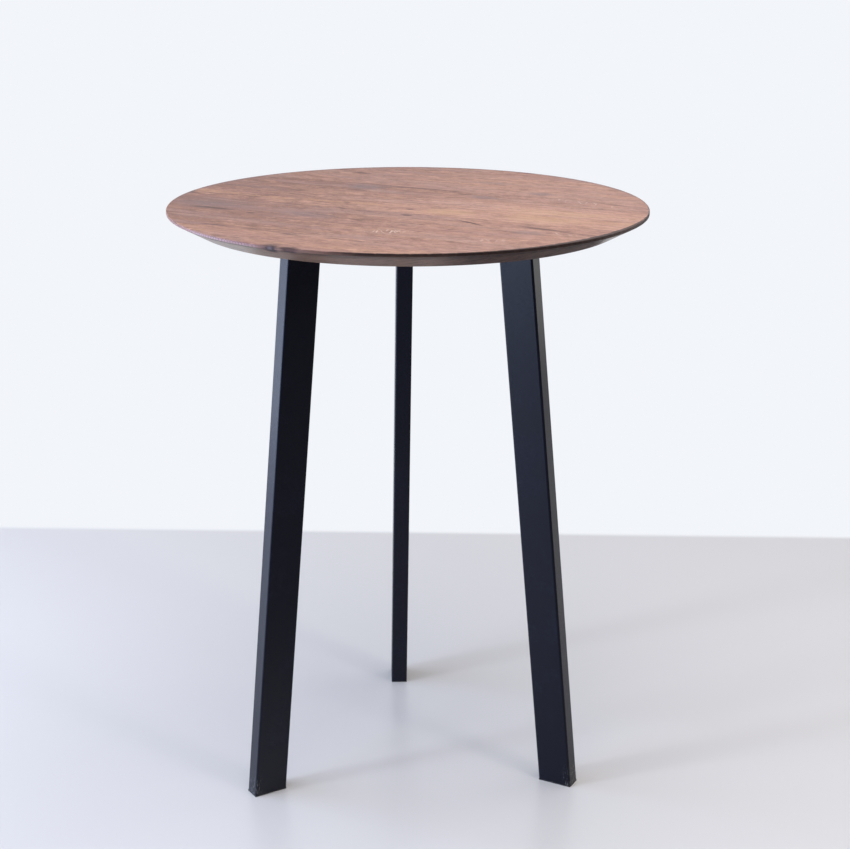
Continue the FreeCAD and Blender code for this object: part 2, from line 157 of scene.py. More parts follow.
class Graph:
    """A node tree that is written as expressions."""

    def __init__(self, tree: bpy.types.NodeTree) -> None:
        """Takes over an empty tree."""
        self.tree = tree

    def node(
        self, kind: str, settings: dict[str, Any] | None = None, inputs: dict[Any, Any] | None = None
    ) -> Any:
        """Adds a node.

        Args:
            kind: The node's type name.
            settings: Properties of the node, set first. A ramp's "stops" are pairs of place and colour.
            inputs: Values or links, by socket name or number.

        Returns:
            The new node.
        """
        node = self.tree.nodes.new(kind)
        for name, setting in (settings or {}).items():
            if name == "stops":
                self._set_stops(node.color_ramp, setting)
            else:
                setattr(node, name, setting)
        self.feed(node, inputs or {})
        return node

    def feed(self, node: bpy.types.Node, inputs: dict[Any, Any]) -> None:
        """Sets or links a node's own sockets, by their names or numbers."""
        for key, source in inputs.items():
            socket = node.inputs[key]
            if isinstance(source, Value):
                source = source.socket
            if isinstance(source, bpy.types.NodeSocket):
                self.tree.links.new(source, socket)
            elif isinstance(source, tuple) and len(source) == 3 and socket.type == "RGBA":
                socket.default_value = (*source, 1.0)
            else:
                socket.default_value = source

    @staticmethod
    def _set_stops(ramp: bpy.types.ColorRamp, stops: Sequence[tuple[float, Colour]]) -> None:
        """Sets a colour ramp's stops in order."""
        while len(ramp.elements) < len(stops):
            ramp.elements.new(1.0)
        for element, (place, colour) in zip(ramp.elements, stops):
            element.position = place
            element.color = (*colour, 1.0)

    def value(self, node: bpy.types.Node, output: int | str = 0) -> Value:
        """One of a node's outputs as a number."""
        return Value(self, node.outputs[output])

    def object_place(self) -> bpy.types.NodeSocket:
        """The place on the piece, in the table's frame."""
        return self.node("ShaderNodeTexCoord").outputs["Object"]

    def parts(self, vector: Any) -> Coordinates:
        """A vector's three coordinates."""
        node = self.node("ShaderNodeSeparateXYZ", {}, {0: vector})
        return self.value(node, 0), self.value(node, 1), self.value(node, 2)

    def joined(self, *coordinates: Value) -> bpy.types.NodeSocket:
        """The vector with these three coordinates."""
        return self.node("ShaderNodeCombineXYZ", {}, dict(enumerate(coordinates))).outputs[0]

    def noise(self, vector: Any, detail: float = 2.0, roughness: float = 0.5, scale: float = 1.0) -> Value:
        """Smooth noise round 0.5. Detail counts its finer layers, and roughness is how strong they are."""
        inputs = {"Vector": vector, "Scale": scale, "Detail": detail, "Roughness": roughness}
        return self.value(self.node("ShaderNodeTexNoise", {}, inputs))

    def vector(self, operation: str, *operands: Any) -> bpy.types.NodeSocket:
        """Vector arithmetic, as a socket."""
        node = self.node("ShaderNodeVectorMath", {"operation": operation}, dict(enumerate(operands)))
        return node.outputs[0]

    def blend(
        self, share: "float | Value", first: Any, second: Any, kind: str = "MIX"
    ) -> bpy.types.NodeSocket:
        """Mixes two colours or colour sockets, with a share of the second one."""
        settings = {"data_type": "RGBA", "blend_type": kind}
        return self.node("ShaderNodeMix", settings, {0: share, 6: first, 7: second}).outputs[2]

    def bump(self, height: Value, reach: float, strength: float) -> bpy.types.NodeSocket:
        """A bump from a height of 0 to 1.

        Args:
            height: The height.
            reach: How many metres a height of 1 stands for.
            strength: Share of the full effect.

        Returns:
            The normal socket.
        """
        inputs = {"Height": height, "Distance": reach, "Strength": strength}
        return self.node("ShaderNodeBump", {}, inputs).outputs[0]


def new_material(name: str, stand_in: Colour) -> tuple[bpy.types.Material, Graph, bpy.types.Node]:
    """A material with a bare surface shader.

    Args:
        name: The material's name.
        stand_in: Its colour in a plain viewport.

    Returns:
        The material, its graph and its shader node.
    """
    material = bpy.data.materials.new(name)
    material.use_nodes = True
    material.diffuse_color = (*stand_in, 1.0)
    tree = material.node_tree
    tree.nodes.clear()
    graph = Graph(tree)
    shader = graph.node("ShaderNodeBsdfPrincipled")
    graph.node("ShaderNodeOutputMaterial", {}, {"Surface": shader.outputs[0]})
    return material, graph, shader


class MarkKind(Enum):
    """What a mark in a plank is."""

    KNOT = "a small hard knot, nearly black"
    STREAK = "a dark mineral streak along the grain"
    BRUISE = "a blue-grey tannin stain"
    GLOW = "a zone of lighter, warmer wood"
    CRACK = "a fine open crack"
    RAYS = "pale ray flecks across the grain"
    CHIP = "a dark broken knot in the rim"
    # A painted highlight: the grey spot where light catches the floor of a chip.
    CHIP_HIGHLIGHT = "a painted grey highlight in the floor of a chip"


@dataclass(frozen=True)
class Mark:
    """A mark in a plank, placed in the planks' own frame.

    Args:
        kind: What it is.
        along: Its middle along the grain, from the middle of the top.
        across: Its middle across the grain, to the far side.
        length: Half its extent along the grain.
        width: Half its extent across the grain.
        strength: How far it departs from the plain wood, 0 to 1.
        turn: Its slant against the grain, in degrees.
        depth: Half its extent downwards from the surface. 0 lets it run through the plank.
    """

    kind: MarkKind
    along: float
    across: float
    length: float
    width: float
    strength: float = 1.0
    turn: float = 0.0
    depth: float = 0.0


@dataclass(frozen=True)
class Plank:
    """One plank's cut and character.

    Args:
        number: Its place from the far side.
        far_edge: Where it ends on the far side, across the grain.
        near_edge: Where it ends on the near side.
        lightness: Its tone, 0 dark to 1 light.
        fade: How much darker its left end is than its right end, in the same measure.
        warmth: Its hue, 0 grey to 1 orange.
        heart_depth: How deep the tree's heart lies below the surface, which sets its growth rings.
        heart_offset: Where the heart lies across the plank.
        marks: Its knots, streaks and stains.
    """

    number: int
    far_edge: float
    near_edge: float
    lightness: float
    fade: float
    warmth: float
    heart_depth: float
    heart_offset: float
    marks: tuple[Mark, ...] = ()


@dataclass(frozen=True)
class SmokedOak:
    """Smoked, brushed oak with a dark stained edge, under a matt lacquer."""

    grain_turn: float = math.radians(-26.5)
    surface_level: float = 1.0
    rim_radius: float = 0.400
    band_height: float = 5 * MM
    saw_pitch: float = 6.5 * MM
    pale: Colour = paint(193, 150, 133)
    body: Colour = paint(166, 124, 107)
    deep: Colour = paint(123, 87, 75)
    warm: Colour = paint(185, 142, 114)
    golden: Colour = paint(196, 156, 122)
    cool: Colour = paint(158, 128, 122)
    rosy: Colour = paint(170, 126, 120)
    pore: Colour = paint(96, 68, 62)
    stain: Colour = paint(112, 98, 103)
    knot: Colour = paint(70, 46, 42)
    chip: Colour = paint(46, 26, 30)
    ray: Colour = paint(224, 198, 184)
    # Painted highlight in a chip.
    chip_highlight: Colour = paint(118, 102, 104)
    edge_stain: Colour = paint(29, 15, 16)
    # Painted highlight: light lilac for the window light on the band's left.
    edge_window_lit: Colour = paint(160, 118, 114)
    edge_brown: Colour = paint(112, 80, 70)
    edge_arris: Colour = paint(92, 54, 54)
    undercut: Colour = paint(109, 83, 66)
    undercut_dark: Colour = paint(61, 47, 44)
    ior: float = 1.33
    lacquer_roughness: float = 0.22
    ring_width: float = 0.0046
    fleck_width: float = 0.0045
    fleck_length: float = 0.036

    def grain_place(self, graph: Graph, seed: float) -> tuple[bpy.types.NodeSocket, Coordinates]:
        """The place in the planks' frame, waved a little as grown wood is.

        Args:
            graph: The material's graph.
            seed: Sets this plank's grain apart from its neighbours'.

        Returns:
            The plain place, and the waved one's three coordinates: along, across and up.
        """
        mapping = {"Vector": graph.object_place(), "Rotation": (0.0, 0.0, -self.grain_turn)}
        turned = graph.node("ShaderNodeMapping", {"vector_type": "POINT"}, mapping).outputs[0]
        shifted = graph.vector("ADD", turned, (seed * 3.7, 0.0, seed * 1.3))
        slow = graph.noise(graph.vector("MULTIPLY", shifted, (3.0, 9.0, 9.0)), detail=1.0)
        quick = graph.noise(graph.vector("MULTIPLY", shifted, (11.0, 40.0, 40.0)), detail=2.0)
        along, across, up = graph.parts(shifted)
        return turned, (along, across + (slow - 0.5) * 0.030 + (quick - 0.5) * 0.014, up)

    @staticmethod
    def streaks(graph: Graph, place: Coordinates, along: float, across: float, detail: float = 2.0) -> Value:
        """Noise drawn out along the grain.

        Args:
            graph: The material's graph.
            place: The waved place.
            along: Length of a streak.
            across: Width of a streak.
            detail: How many finer layers it has.

        Returns:
            A value round 0.5.
        """
        scaled = graph.joined(place[0] / along, place[1] / across, place[2] / across)
        return graph.noise(scaled, detail=detail, roughness=0.6)

    def mark_mask(
        self, graph: Graph, turned: bpy.types.NodeSocket, ragged: Value, marks: Iterable[Mark]
    ) -> Value | None:
        """How much of any of the marks is at a place.

        Args:
            graph: The material's graph.
            turned: The place in the planks' frame.
            ragged: Noise that frays the marks' outlines.
            marks: Marks of one kind.

        Returns:
            A value from 0 to 1, or None without marks.
        """
        total: Value | None = None
        for mark in marks:
            inputs = {
                "Vector": turned,
                "Location": (mark.along, mark.across, self.surface_level - mark.depth / 2),
                "Rotation": (0.0, 0.0, math.radians(mark.turn)),
                "Scale": (mark.length, mark.width, mark.depth or 1.0),
            }
            local = graph.node("ShaderNodeMapping", {"vector_type": "TEXTURE"}, inputs).outputs[0]
            if not mark.depth:
                local = graph.vector("MULTIPLY", local, (1.0, 1.0, 0.0))
            distance = graph.node("ShaderNodeVectorMath", {"operation": "LENGTH"}, {0: local})
            frayed = graph.value(distance, "Value") + (ragged - 0.5) * 1.1
            mask = frayed.rise(1.1, 0.25) * mark.strength
            total = mask if total is None else total.most(mask)
        return total

    def make(self, plank: Plank) -> bpy.types.Material:
        """Makes one plank's wood.

        Args:
            plank: The plank.

        Returns:
            Its material.
        """
        material, graph, shader = new_material(f"smoked_oak_{plank.number}", self.body)
        turned, place = self.grain_place(graph, float(plank.number))
        along, across, up = place
        bands = self.streaks(graph, place, 0.30, 0.024, detail=4.0)
        stripes = self.streaks(graph, place, 0.10, 0.0080, detail=4.0)
        fibres = self.streaks(graph, place, 0.018, 0.0026, detail=3.0)
        hairs = self.streaks(graph, place, 0.012, 0.00055, detail=1.0)
        dashes = self.streaks(graph, place, 0.020, 0.0038, detail=3.0)

        # Growth rings: the plank cuts the rings of a trunk whose heart lies below it and slants along it.
        heart = along * 0.045 + (plank.heart_depth + (bands - 0.5) * 0.02)
        sideways = across - (plank.near_edge + plank.far_edge) / 2 - plank.heart_offset
        radius = sideways.hypot(heart)
        ring = (radius / self.ring_width + (stripes - 0.5) * 1.3).fraction()
        early = ring.rise(0.55, 0.05) * ring.rise(0.0, 0.08)
        vessels = self.streaks(graph, place, 0.010, 0.00065, detail=1.0).rise(0.54, 0.68)
        pores = (early * 0.75 + 0.25) * vessels

        turned_parts = graph.parts(turned)
        slope = (turned_parts[0] + (bands - 0.5) * 0.5).rise(-0.34, 0.30)
        figure = self.streaks(graph, place, 0.030, 0.0095, detail=4.0)
        flakes = self.streaks(graph, place, 0.007, 0.0060, detail=2.0)
        tone = (bands - 0.5) * 0.5 + (stripes - 0.5) * 1.3 + (fibres - 0.5) * 1.8
        tone = tone + (figure - 0.5) * 1.6 + (flakes - 0.5) * 0.9
        tone = (tone + (slope - 0.60) * plank.fade + (plank.lightness - early * 0.16)).clamped()
        stops = ((0.0, self.deep), (0.45, self.body), (1.0, self.pale))
        colour = graph.node("ShaderNodeValToRGB", {"stops": stops}, {0: tone}).outputs[0]
        hue = self.streaks(graph, place, 0.16, 0.026, detail=4.0)
        colour = graph.blend(hue.rise(0.46, 0.66) * (plank.warmth * 0.65), colour, self.warm)
        colour = graph.blend(hue.rise(0.54, 0.36) * ((1.0 - plank.warmth) * 0.6), colour, self.cool)
        colour = graph.blend(bands.rise(0.56, 0.40) * 0.25, colour, self.rosy)
        colour = graph.blend(pores * 0.5, colour, self.pore)
        colour = graph.blend(dashes.rise(0.57, 0.70) * (early * 0.3 + 0.35), colour, self.deep, "MULTIPLY")

        ragged = self.streaks(graph, place, 0.035, 0.006, detail=3.0)
        relief = fibres * 0.45 + hairs * 0.25 - pores * 0.45 + stripes * 0.2 - dashes.rise(0.60, 0.74) * 0.3

        def masked(kind: MarkKind) -> Value | None:
            """The mask of this plank's marks of one kind."""
            found = [mark for mark in plank.marks if mark.kind is kind]
            return self.mark_mask(graph, turned, ragged, found)

        glow = masked(MarkKind.GLOW)
        if glow is not None:
            colour = graph.blend(glow * 0.6, colour, self.golden)
        bruise = masked(MarkKind.BRUISE)
        if bruise is not None:
            colour = graph.blend(bruise * (stripes * 0.7 + 0.20), colour, self.stain)
        streak = masked(MarkKind.STREAK)
        if streak is not None:
            colour = graph.blend(streak * (fibres * 1.1 + 0.15).clamped(), colour, self.knot)
            relief = relief - streak * 0.4
        rays = masked(MarkKind.RAYS)
        if rays is not None:
            flecks = None
            length = self.fleck_length
            for slant in (0.20, 0.75):
                skew = (along + across * slant) / self.fleck_width
                strokes = graph.noise(graph.joined(skew, across / length, up / length), detail=1.0)
                strokes = strokes.rise(0.60, 0.70)
                flecks = strokes if flecks is None else flecks.most(strokes)
            colour = graph.blend((rays * flecks * 1.2).clamped(), colour, self.ray)
            relief = relief + rays * flecks * 0.4
        holes = (
            (MarkKind.KNOT, self.knot, 1.6),
            (MarkKind.CRACK, self.knot, 1.6),
            (MarkKind.CHIP, self.chip, 1.6),
            (MarkKind.CHIP_HIGHLIGHT, self.chip_highlight, 0.8),
        )
        for kind, tint, drop in holes:
            hole = masked(kind)
            if hole is not None:
                colour = graph.blend(hole, colour, tint)
                relief = relief - hole * drop

        # A glue line at both edges of the plank, open in places.
        true_across = turned_parts[1]
        near = (true_across - plank.near_edge) * (plank.far_edge - true_across)
        width = plank.far_edge - plank.near_edge
        joint = near.rise(0.00060 * width, 0.00015 * width) * (bands.rise(0.42, 0.60) * 0.6 + 0.25)
        colour = graph.blend(joint, colour, self.pore)
        relief = relief - joint * 0.9

        broken = [mark for mark in plank.marks if mark.kind in (MarkKind.CHIP, MarkKind.CHIP_HIGHLIGHT)]
        whole = self.mark_mask(graph, turned, ragged, broken)
        worn = colour
        colour, gloss, lacquer = self.dress_edge(graph, turned_parts, colour, fibres, ragged, place)
        if whole is not None:
            colour = graph.blend(whole, colour, worn)
            lacquer = lacquer * (1.0 - whole)
        graph.feed(
            shader,
            {
                "Base Color": colour,
                "Coat Weight": lacquer,
                "Roughness": gloss,
                "Normal": graph.bump(relief, 0.55 * MM, 0.55),
                "IOR": self.ior,
                "Coat Roughness": self.lacquer_roughness,
            },
        )
        return material

    def dress_edge(
        self, graph: Graph, parts: Coordinates, colour: Any, fibres: Value, ragged: Value, place: Coordinates
    ) -> tuple[bpy.types.NodeSocket, Value, Value]:
        """Stains the rim's upright band nearly black from the middle on, paints a highlight on its left
        where the window light falls, and colours the sawn undercut grey-brown, with painted shade under the
        band.

        Args:
            graph: The material's graph.
            parts: The plain place in the planks' frame.
            colour: The wood's colour so far.
            fibres: Fine streaks, for the gloss.
            ragged: Noise that frays the stain's edge.
            place: The waved place.

        Returns:
            The colour, the roughness and the weight of the lacquer.
        """
        rim = self.rim_radius
        band_end = self.band_height
        reach_x, reach_y, level = parts
        radius = reach_x.hypot(reach_y)
        saw = self.streaks(graph, place, 0.0032, 0.0032, detail=2.0)
        depth = self.surface_level - level
        # Painted highlight: the band is painted light lilac on the table's left, where the window light
        # falls on it, plain brown next to it, and stained nearly black from the middle on.
        rightwards = reach_x * math.cos(self.grain_turn) - reach_y * math.sin(self.grain_turn)
        rightwards = rightwards + (ragged - 0.5) * 0.05
        frontwards = reach_x * -math.sin(self.grain_turn) - reach_y * math.cos(self.grain_turn)
        bare_steel_and_window_lit = rightwards.rise(-0.225, -0.258)
        deep = rightwards.rise(-0.155, -0.075)
        # The undercut alone: the flat underside stays evenly sawn.
        sloping = radius.rise(rim - 55 * MM, rim - 38 * MM)
        dull = rightwards.rise(0.01, 0.09) * rightwards.rise(0.305, 0.275) * sloping
        ends = bare_steel_and_window_lit.most(rightwards.rise(0.275, 0.305)) * sloping

        around = reach_y.angle(reach_x) * rim
        teeth = (around / self.saw_pitch + (ragged - 0.5) * 1.6).fraction().rise(0.30, 0.75)

        below = depth + (saw - 0.5) * (2.0 * MM) - teeth * bare_steel_and_window_lit * (1.3 * MM)
        lower_end = depth + (ragged - 0.5) * (1.2 * MM)
        band = below.rise(0.4 * MM, 0.9 * MM) * lower_end.rise(band_end + 0.9 * MM, band_end)
        # The dark band laps onto the top: 1.5 mm where it is stained deep, and up to 7 mm more on the front
        # right, which is painted shade of a rounded edge.
        lap = deep * (1.5 * MM) + rightwards.rise(0.05, 0.28) * frontwards.rise(0.08, 0.26) * (7.0 * MM)
        lapped = radius + lap + (saw - 0.5) * (2.5 * MM) + (ragged - 0.5) * (5.0 * MM)
        lip = lapped.rise(rim - 0.6 * MM, rim + 0.8 * MM) * (1.0 - bare_steel_and_window_lit)
        band = band.most(lip * depth.rise(1.4 * MM, 0.8 * MM) * 0.9)

        # The band's light lilac on the left is a painted highlight of the window light.
        edge = graph.blend(bare_steel_and_window_lit, self.edge_brown, self.edge_window_lit)
        edge = graph.blend(deep, edge, self.edge_stain)
        # Painted shading of a rounded edge that the mesh lacks: the band takes on the undercut's colour
        # lower down.
        edge = graph.blend(lower_end.rise(1.0 * MM, 5.5 * MM) * (0.30 - dull * 0.22), edge, self.undercut)
        arris = (below.rise(1.8 * MM, 1.0 * MM) + teeth * 0.60).clamped() * bare_steel_and_window_lit
        edge = graph.blend(arris, edge, self.edge_arris)

        under = lower_end.rise(band_end, band_end + 0.8 * MM)
        # Painted shade just under the band, fading downwards; on the lit left a dark line under the band
        # takes its place.
        painted_edge_shade = lower_end.rise(band_end + 9 * MM, band_end - 3 * MM) * (0.85 - bare_steel_and_window_lit * 0.65)
        line = lower_end.rise(band_end + 3.6 * MM, band_end + 1.2 * MM) * bare_steel_and_window_lit * 0.85
        # The undercut is darker from the middle nearly to the right end.
        sawn = graph.blend(dull * 0.95, self.undercut, self.undercut_dark)
        sawn = graph.blend((fibres * 0.9 + ragged * 0.4 - 0.35).clamped() * 0.3, sawn, colour)
        sawn = graph.blend(ragged.rise(0.55, 0.35) * 0.4, sawn, self.undercut_dark, "MULTIPLY")
        sawn = graph.blend(painted_edge_shade.most(line), sawn, self.edge_stain)
        # Painted sheen: a blue-grey band along the far rim of the top.
        painted_far_sheen = radius.rise(rim - 14 * MM, rim - 2 * MM) * frontwards.rise(-0.02, -0.15)
        colour = graph.blend(painted_far_sheen * 0.5, colour, self.stain)
        colour = graph.blend(under, colour, sawn)
        colour = graph.blend((band * (0.88 + ragged * 0.2)).clamped(), colour, edge)
        gloss = 0.54 + (fibres - 0.5) * 0.22 + under * (dull * 0.3) - band * bare_steel_and_window_lit * 0.20
        sheen = band * (0.05 + bare_steel_and_window_lit * 0.33 - rightwards.rise(-0.30, -0.37) * 0.26) * (1.0 - arris)
        return colour, gloss, sheen.most(under * (0.18 + ends * 0.42) * (1.0 - dull * 0.8) * (1.0 - line))


@dataclass(frozen=True)
class PowderCoat:
    """Satin black powder coat over steel, with a faint orange peel."""

    colour: Colour = paint(9, 12, 27)
    dust: Colour = paint(15, 19, 40)
    bare_steel_and_window_lit: Colour = paint(120, 118, 114)
    roughness: float = 0.26
    ior: float = 1.33
    foot_corner: tuple[float, float] = (0.306, 0.320)

    def make(self, name: str, worn_below: float = 0.0) -> bpy.types.Material:
        """Makes the coat.

        Args:
            name: The material's name.
            worn_below: Height under which the legs' outer corners are rubbed, or 0 for none.

        Returns:
            The material.
        """
        material, graph, shader = new_material(name, self.colour)
        place = graph.object_place()
        peel = graph.noise(place, detail=2.0, roughness=0.55, scale=620.0)
        cloud = graph.noise(place, detail=3.0, roughness=0.6, scale=14.0)
        grit = graph.noise(place, detail=1.0, roughness=0.5, scale=2600.0)
        colour = graph.blend(cloud.rise(0.45, 0.75) * 0.35, self.colour, self.dust)
        gloss = self.roughness + (cloud - 0.5) * 0.10 + (grit - 0.5) * 0.05
        if worn_below:
            reach_x, reach_y, level = graph.parts(place)
            low = level.rise(worn_below, 0.2 * worn_below)
            outer = reach_x.hypot(reach_y).rise(*self.foot_corner)
            fine = graph.vector("MULTIPLY", place, (420.0, 420.0, 110.0))
            worn = low * outer * graph.noise(fine, detail=3.0, roughness=0.7).rise(0.52, 0.68) * 0.5
            colour = graph.blend(worn, colour, self.bare_steel_and_window_lit)
            gloss = gloss + worn * 0.15
        normal = graph.bump(peel + grit * 0.15, 0.06 * MM, 0.5)
        graph.feed(shader, {"Base Color": colour, "Roughness": gloss, "Normal": normal, "IOR": self.ior})
        return material


@dataclass(frozen=True)
class MouldedPlastic:
    """Black moulded plastic with a fine spark-eroded grain."""

    colour: Colour = paint(38, 38, 40)
    scuff: Colour = paint(78, 77, 76)
    roughness: float = 0.55

    def make(self, name: str) -> bpy.types.Material:
        """Makes the plastic, under the material's name."""
        material, graph, shader = new_material(name, self.colour)
        place = graph.object_place()
        grain = graph.noise(place, detail=2.0, roughness=0.6, scale=1500.0)
        stretched = graph.vector("MULTIPLY", place, (60.0, 60.0, 400.0))
        scuffs = graph.noise(stretched, detail=3.0, roughness=0.7)
        colour = graph.blend(scuffs.rise(0.58, 0.75) * 0.6, self.colour, self.scuff)
        gloss = self.roughness + (grain - 0.5) * 0.2
        normal = graph.bump(grain, 0.05 * MM, 0.5)
        graph.feed(shader, {"Base Color": colour, "Roughness": gloss, "Normal": normal})
        return material


@dataclass(frozen=True)
class ZincPlate:
    """Bright zinc on the wood screws, with the spangle and rub marks of a handled fastener."""

    colour: Colour = paint(186, 188, 192)
    tarnish: Colour = paint(128, 126, 120)
    roughness: float = 0.30

    def make(self, name: str) -> bpy.types.Material:
        """Makes the plating, under the material's name."""
        material, graph, shader = new_material(name, self.colour)
        place = graph.object_place()
        spangle = graph.noise(place, detail=2.0, roughness=0.6, scale=420.0)
        rubs = graph.noise(graph.vector("MULTIPLY", place, (900.0, 160.0, 900.0)), detail=2.0)
        colour = graph.blend(spangle.rise(0.48, 0.70) * 0.7, self.colour, self.tarnish)
        gloss = self.roughness + (spangle - 0.5) * 0.25 + (rubs - 0.5) * 0.1
        normal = graph.bump(rubs, 0.03 * MM, 0.4)
        graph.feed(shader, {"Base Color": colour, "Roughness": gloss, "Normal": normal, "Metallic": 1.0})
        return material


class TreeBuilder(Graph):
    """A Geometry Nodes tree with named inputs for its sizes."""

    def __init__(self, name: str) -> None:
        """Starts an empty tree."""
        super().__init__(bpy.data.node_groups.new(name, "GeometryNodeTree"))
        self.tree.interface.new_socket("Geometry", in_out="OUTPUT", socket_type="NodeSocketGeometry")
        self.group_input = self.node("NodeGroupInput")
        self.sizes: dict[str, float] = {}

    def size(self, name: str, amount: float) -> bpy.types.NodeSocket:
        """Declares a named input with its value for this piece, and gives the socket to link from."""
        socket = self.tree.interface.new_socket(name, in_out="INPUT", socket_type="NodeSocketFloat")
        self.sizes[socket.identifier] = amount
        return self.group_input.outputs[name]

    def build(
        self, geometry: bpy.types.NodeSocket, material: bpy.types.Material, name: str
    ) -> bpy.types.Object:
        """Ends the tree, evaluates it once and keeps the plain mesh.

        Args:
            geometry: What the tree has made, with instances.
            material: The finish it gets.
            name: The piece's name.

        Returns:
            The piece, at the origin.
        """
        real = self.node("GeometryNodeRealizeInstances", {}, {0: geometry})
        inputs = {"Geometry": real.outputs[0], "Material": material}
        dressed = self.node("GeometryNodeSetMaterial", {}, inputs)
        self.node("NodeGroupOutput", {}, {0: dressed.outputs[0]})
        maker = add_object(f"{name}_maker", bpy.data.meshes.new(f"{name}_maker"))
        modifier = maker.modifiers.new("made", "NODES")
        modifier.node_group = self.tree
        for identifier, amount in self.sizes.items():
            modifier[identifier] = amount
        maker.update_tag()
        graph = bpy.context.evaluated_depsgraph_get()
        mesh = bpy.data.meshes.new_from_object(maker.evaluated_get(graph))
        maker.modifiers.remove(modifier)
        bpy.data.objects.remove(maker)
        return new_piece(name, mesh, material)


def add_object(name: str, data: Any) -> bpy.types.Object:
    """Puts an object with this mesh, camera or lamp into the scene, at the origin."""
    made = bpy.data.objects.new(name, data)
    bpy.context.scene.collection.objects.link(made)
    return made


def new_piece(name: str, mesh: bpy.types.Mesh, material: bpy.types.Material) -> bpy.types.Object:
    """Puts a finished mesh, in the table's frame, into the scene as a piece."""
    piece = add_object(name, mesh)
    mesh.materials.clear()
    mesh.materials.append(material)
    return piece


def dress(node: str, material: bpy.types.Material) -> None:
    """Gives a CAD node's object its finish."""
    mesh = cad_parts[node].data
    for index in range(len(mesh.materials)):
        mesh.materials[index] = material
    log.info("%s wears %s", node, material.name)


@dataclass
class PlankTop:
    """The round top of glued planks with its undercut rim."""

    oak: SmokedOak = SmokedOak()
    edges: tuple[float, ...] = (0.400, 0.2768, 0.160, 0.0896, 0.0064, -0.0704, -0.1936, -0.2976, -0.400)

    def looks(self) -> list[Plank]:
        """The eight planks, from the far side to the near side, with the marks that each one shows."""
        knot, streak, bruise, glow, crack, rays, chip, chip_highlight = MarkKind
        # Each plank's lightness, fade, warmth, depth of the heart and offset of the heart.
        characters = (
            (0.50, 0.35, 0.15, 0.060, 0.02),
            (0.53, 0.35, 0.30, 0.045, -0.01),
            (0.34, 0.55, 0.10, 0.030, 0.01),
            (0.56, 0.75, 0.35, 0.050, 0.0),
            (0.56, 0.55, 0.95, 0.040, 0.01),
            (0.34, 0.55, 0.25, 0.055, -0.02),
            (0.34, 0.45, 0.20, 0.022, 0.0),
            (0.42, 0.20, 0.50, 0.050, 0.02),
        )
        marks = {
            2: (
                Mark(knot, -0.217, 0.262, 0.022, 0.007, 0.8),
                Mark(knot, -0.263, 0.250, 0.012, 0.006, 0.7),
                Mark(bruise, 0.050, 0.262, 0.050, 0.012, 0.7),
                Mark(bruise, 0.163, 0.190, 0.030, 0.020, 0.8),
            ),
            3: (
                Mark(bruise, -0.143, 0.130, 0.050, 0.030, 1.0),
                Mark(streak, -0.043, 0.154, 0.110, 0.007, 0.7),
                Mark(bruise, 0.090, 0.117, 0.040, 0.022, 0.8),
                Mark(rays, 0.267, 0.138, 0.100, 0.018, 0.4, turn=-12),
                Mark(crack, 0.318, 0.143, 0.035, 0.0025, 0.8, turn=-8),
            ),
            4: (
                Mark(streak, -0.270, 0.050, 0.120, 0.014, 0.35),
                Mark(glow, 0.260, 0.030, 0.110, 0.030, 0.5),
            ),
            5: (
                Mark(knot, -0.103, -0.023, 0.009, 0.006, 0.7),
                Mark(knot, 0.020, -0.037, 0.010, 0.005, 0.8),
                Mark(glow, 0.090, -0.030, 0.060, 0.026, 0.9),
                Mark(glow, 0.250, -0.030, 0.090, 0.032, 0.7),
            ),
            6: (
                Mark(bruise, -0.300, -0.130, 0.100, 0.050, 0.8),
                Mark(streak, -0.277, -0.163, 0.055, 0.008, 1.0),
                Mark(knot, -0.200, -0.177, 0.010, 0.006, 0.8),
                Mark(knot, 0.037, -0.087, 0.013, 0.007, 1.0),
                Mark(knot, -0.083, -0.077, 0.010, 0.005, 0.7),
                Mark(bruise, -0.110, -0.150, 0.070, 0.030, 0.7),
                Mark(crack, 0.157, -0.104, 0.042, 0.0035, 1.0, turn=-26),
                Mark(streak, 0.276, -0.104, 0.050, 0.008, 1.0, turn=-8),
                Mark(crack, 0.345, -0.118, 0.060, 0.003, 0.7, turn=-5),
                Mark(bruise, 0.270, -0.143, 0.035, 0.018, 0.8),
                Mark(rays, 0.315, -0.128, 0.050, 0.010, 0.45),
            ),
            7: (
                Mark(rays, 0.062, -0.225, 0.043, 0.026, 0.52, turn=27),
                Mark(rays, 0.237, -0.223, 0.040, 0.020, 0.24, turn=27),
                Mark(streak, -0.203, -0.288, 0.032, 0.005, 0.9),
                Mark(streak, -0.130, -0.292, 0.018, 0.005, 0.8),
            ),
            8: (
                Mark(streak, -0.057, -0.308, 0.020, 0.005, 0.8),
                Mark(chip, -0.043, -0.396, 0.022, 0.026, 1.0, depth=0.014),
                Mark(chip, -0.008, -0.399, 0.024, 0.012, 1.0, depth=0.012),
                # Painted highlight in the chip.
                Mark(chip_highlight, -0.043, -0.401, 0.007, 0.006, 0.8, depth=0.008),
            ),
        }
        cuts = zip(self.edges, self.edges[1:], characters)
        return [
            Plank(number, far, near, *character, marks.get(number, ()))
            for number, (far, near, character) in enumerate(cuts, start=1)
        ]

    def build(self) -> None:
        """Dresses every plank in its own piece of oak."""
        for plank in self.looks():
            dress(f"top_plank_{plank.number}", self.oak.make(plank))


